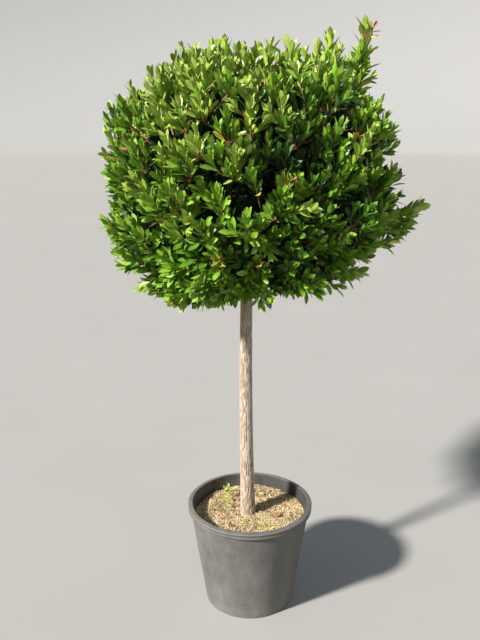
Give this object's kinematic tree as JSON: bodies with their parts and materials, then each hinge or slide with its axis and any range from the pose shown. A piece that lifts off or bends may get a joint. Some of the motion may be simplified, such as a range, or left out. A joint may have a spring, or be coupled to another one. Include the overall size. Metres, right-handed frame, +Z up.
{
  "type": "potted strawberry tree",
  "caption": "Ball-headed evergreen tree on a clear straight stem, standing in a round tapered nursery pot filled with potting mix.",
  "frame": {"origin": "middle of the pot's flat underside, on the ground that the plant stands on", "axes": "+Z up along the stem, -Y towards the side that the picture shows, +X to that view's right"},
  "size_m": [0.9757, 0.8871, 1.877],
  "materials": {
    "pot_plastic": "moulded nursery plastic, near black, dusty",
    "potting_mix": "dry crumbly bark and peat",
    "bark": "finely fissured grey-brown bark",
    "foliage": "glossy leathery green leaves"
  },
  "bodies": {
    "root": {"pot": "pot_plastic", "soil": "potting_mix", "trunk": "bark", "foliage_top": "foliage", "bough_upper_1": "bark", "foliage_upper_1": "foliage", "bough_upper_2": "bark", "foliage_upper_2": "foliage", "bough_upper_3": "bark", "foliage_upper_3": "foliage", "bough_upper_4": "bark", "foliage_upper_4": "foliage", "bough_upper_5": "bark", "foliage_upper_5": "foliage", "bough_lower_1": "bark", "foliage_lower_1": "foliage", "bough_lower_2": "bark", "foliage_lower_2": "foliage", "bough_lower_3": "bark", "foliage_lower_3": "foliage", "bough_lower_4": "bark", "foliage_lower_4": "foliage", "bough_lower_5": "bark", "foliage_lower_5": "foliage"}
  },
  "joints": []
}
